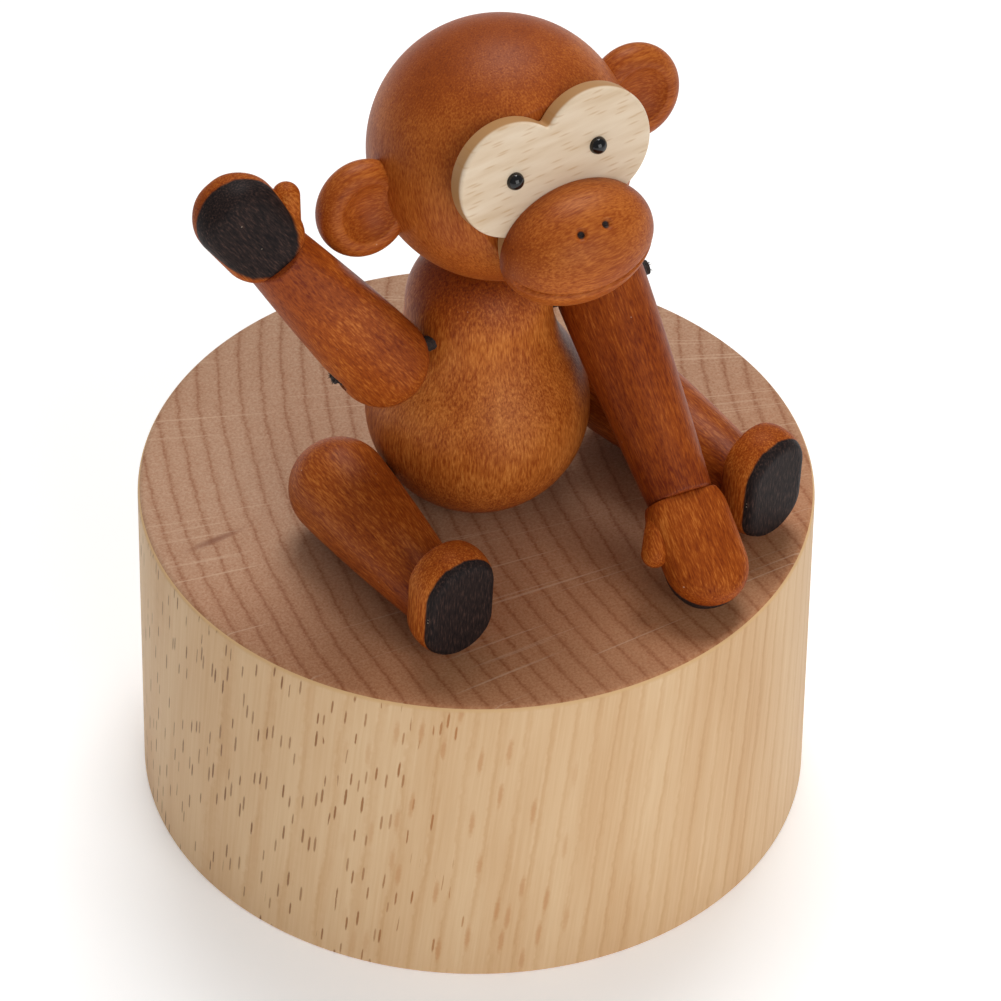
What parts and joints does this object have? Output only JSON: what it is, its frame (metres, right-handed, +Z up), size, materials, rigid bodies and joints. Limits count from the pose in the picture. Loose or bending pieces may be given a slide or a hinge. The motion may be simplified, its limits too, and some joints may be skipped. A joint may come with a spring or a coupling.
{
  "type": "music box",
  "caption": "Round wooden music box with a wind-up movement inside, a winding key underneath and a seated jointed wooden toy monkey on its top.",
  "frame": {"origin": "middle of the lower face of the base, on the table", "axes": "+Z up, the figure faces -Y and its own left is +X"},
  "size_m": [0.08, 0.08, 0.1078],
  "materials": {
    "beech": "fine sanded, oiled",
    "plywood": "raw",
    "stained_wood": "stained, satin",
    "dark_tipped_wood": "stained, dark palms and soles",
    "pale_wood": "fine sanded",
    "elastic": "braided elastic",
    "bead": "glossy",
    "zinc": "die cast",
    "brass": "satin",
    "steel": "turned",
    "spring_steel": "ground"
  },
  "bodies": {
    "case": {"base_block": "beech", "bottom_panel": "plywood", "panel_screws": "steel", "movement_screws": "steel", "seat_screw": "steel", "torso": "stained_wood", "neck_dowel": "pale_wood", "shoulder_cord": "elastic", "hip_cord": "elastic", "bedplate": "zinc", "comb": "spring_steel", "comb_screws": "steel", "governor_frame": "brass", "governor_screw": "steel", "clutch_spring": "spring_steel"},
    "winder": {"winding_key": "brass", "winding_arbor": "steel"},
    "barrel": {"spring_barrel": "brass", "barrel_cover": "brass", "mainspring": "spring_steel"},
    "cylinder": {"tune_cylinder": "brass", "tune_pins": "steel", "cylinder_axle": "steel", "cylinder_pinion": "brass", "cylinder_gear": "brass"},
    "governor": {"governor_wheel": "brass", "governor_axle": "steel"},
    "fan": {"governor_worm": "steel", "governor_fan": "brass"},
    "head": {"head": "stained_wood", "face_plate": "pale_wood", "eyes": "bead", "muzzle": "stained_wood", "left_ear": "stained_wood", "right_ear": "stained_wood", "ear_dowels": "pale_wood"},
    "left_arm": {"left_arm": "stained_wood", "left_hand": "dark_tipped_wood"},
    "right_arm": {"right_arm": "stained_wood", "right_hand": "dark_tipped_wood"},
    "left_leg": {"left_leg": "stained_wood", "left_foot": "dark_tipped_wood"},
    "right_leg": {"right_leg": "stained_wood", "right_foot": "dark_tipped_wood"}
  },
  "joints": [
    {"name": "key_turn", "type": "hinge", "parent": "case", "child": "winder", "pos_m": [-0.014, 0.002, 0], "axis": [0, 0, 1], "continuous": true},
    {"name": "barrel_spin", "type": "hinge", "parent": "case", "child": "barrel", "pos_m": [-0.014, 0.002, 0.0245], "axis": [0, 0, 1], "continuous": true},
    {"name": "cylinder_spin", "type": "hinge", "parent": "case", "child": "cylinder", "pos_m": [0, 0.002, 0.02755], "axis": [1, 0, 0], "continuous": true},
    {"name": "governor_spin", "type": "hinge", "parent": "case", "child": "governor", "pos_m": [0, 0.01026, 0.02502], "axis": [1, 0, 0], "continuous": true},
    {"name": "fan_spin", "type": "hinge", "parent": "case", "child": "fan", "pos_m": [0.01815, 0.01536, 0.02502], "axis": [0, 0, 1], "continuous": true},
    {"name": "head_turn", "type": "hinge", "parent": "case", "child": "head", "pos_m": [0.002, -0.001, 0.0925], "axis": [0.0881, -0.044, 0.9951], "range_deg": [-60, 60]},
    {"name": "left_arm_swing", "type": "hinge", "parent": "case", "child": "left_arm", "pos_m": [0.01445, -0.003, 0.069], "axis": [-1, 0, 0], "range_deg": [0, 60]},
    {"name": "right_arm_swing", "type": "hinge", "parent": "case", "child": "right_arm", "pos_m": [-0.01445, -0.003, 0.069], "axis": [-1, 0, 0], "range_deg": [-100, 105]},
    {"name": "left_leg_swing", "type": "hinge", "parent": "case", "child": "left_leg", "pos_m": [0.01887, -0.001, 0.0499], "axis": [-1, 0, 0], "range_deg": [0, 28]},
    {"name": "right_leg_swing", "type": "hinge", "parent": "case", "child": "right_leg", "pos_m": [-0.01887, -0.001, 0.0499], "axis": [-1, 0, 0], "range_deg": [0, 28]}
  ],
  "couplings": [
    {"joint": "cylinder_spin", "follows": "barrel_spin", "ratio": 4},
    {"joint": "governor_spin", "follows": "barrel_spin", "ratio": -20},
    {"joint": "fan_spin", "follows": "barrel_spin", "ratio": 200}
  ]
}
